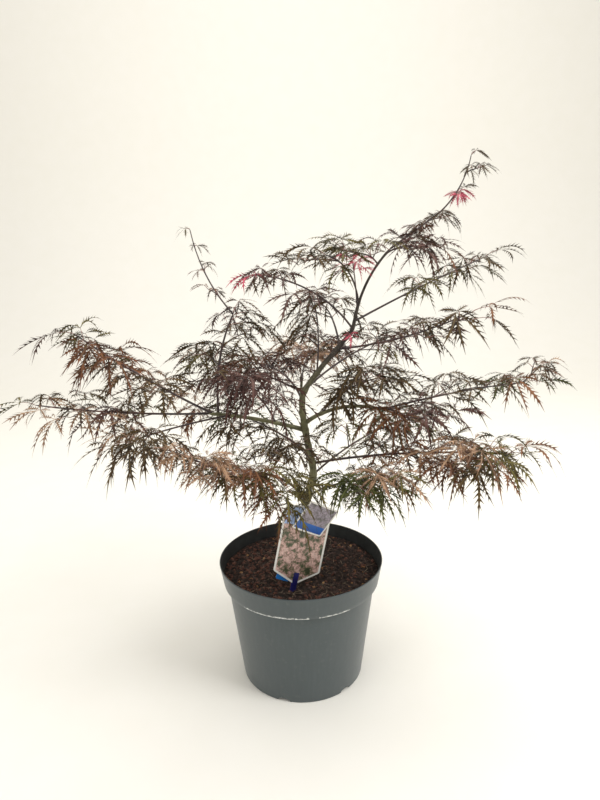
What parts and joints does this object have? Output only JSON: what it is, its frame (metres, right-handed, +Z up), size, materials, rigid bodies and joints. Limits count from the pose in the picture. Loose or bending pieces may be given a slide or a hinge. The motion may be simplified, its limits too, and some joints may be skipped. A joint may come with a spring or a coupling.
{
  "type": "potted japanese maple",
  "caption": "Young cut-leaf japanese maple with dark bronze foliage, standing in a round plastic nursery pot of soil with blank-bordered plant labels.",
  "frame": {"origin": "centre of the pot's flat underside", "axes": "+Z up along the pot's axis, -Y towards the side that the labels face, +X to the right seen from that side"},
  "size_m": [1.0081, 0.6618, 0.8893],
  "materials": {
    "pot": "moulded polypropylene, satin",
    "soil": "damp bark and peat potting mix",
    "bark": "smooth young bark",
    "foliage": "thin bronze leaves on purple twigs",
    "label": "printed plastic card",
    "stake": "blue plastic"
  },
  "bodies": {
    "root": {"pot": "pot", "soil": "soil", "trunk": "bark", "left_bough": "bark", "right_bough": "bark", "back_bough": "bark", "top_bough": "bark", "far_left_foliage": "foliage", "upper_left_foliage": "foliage", "left_rise_foliage": "foliage", "left_low_foliage": "foliage", "left_inner_foliage": "foliage", "low_left_foliage": "foliage", "low_front_right_foliage": "foliage", "lower_right_foliage": "foliage", "front_centre_foliage": "foliage", "far_right_foliage": "foliage", "right_front_foliage": "foliage", "right_side_foliage": "foliage", "right_mid_foliage": "foliage", "top_shoot_foliage": "foliage", "upper_right_foliage": "foliage", "crimson_left_foliage": "foliage", "upper_short_foliage": "foliage", "upper_inner_foliage": "foliage", "top_drape_foliage": "foliage", "top_inner_foliage": "foliage", "fork_bud_foliage": "foliage", "inner_left_foliage": "foliage", "inner_rise_foliage": "foliage", "back_shoot_foliage": "foliage", "back_left_foliage": "foliage", "back_right_foliage": "foliage", "low_back_left_foliage": "foliage", "low_back_right_foliage": "foliage", "back_top_foliage": "foliage", "picture_label": "label", "back_label": "label", "hang_tag": "label", "label_stake": "stake"}
  },
  "joints": []
}
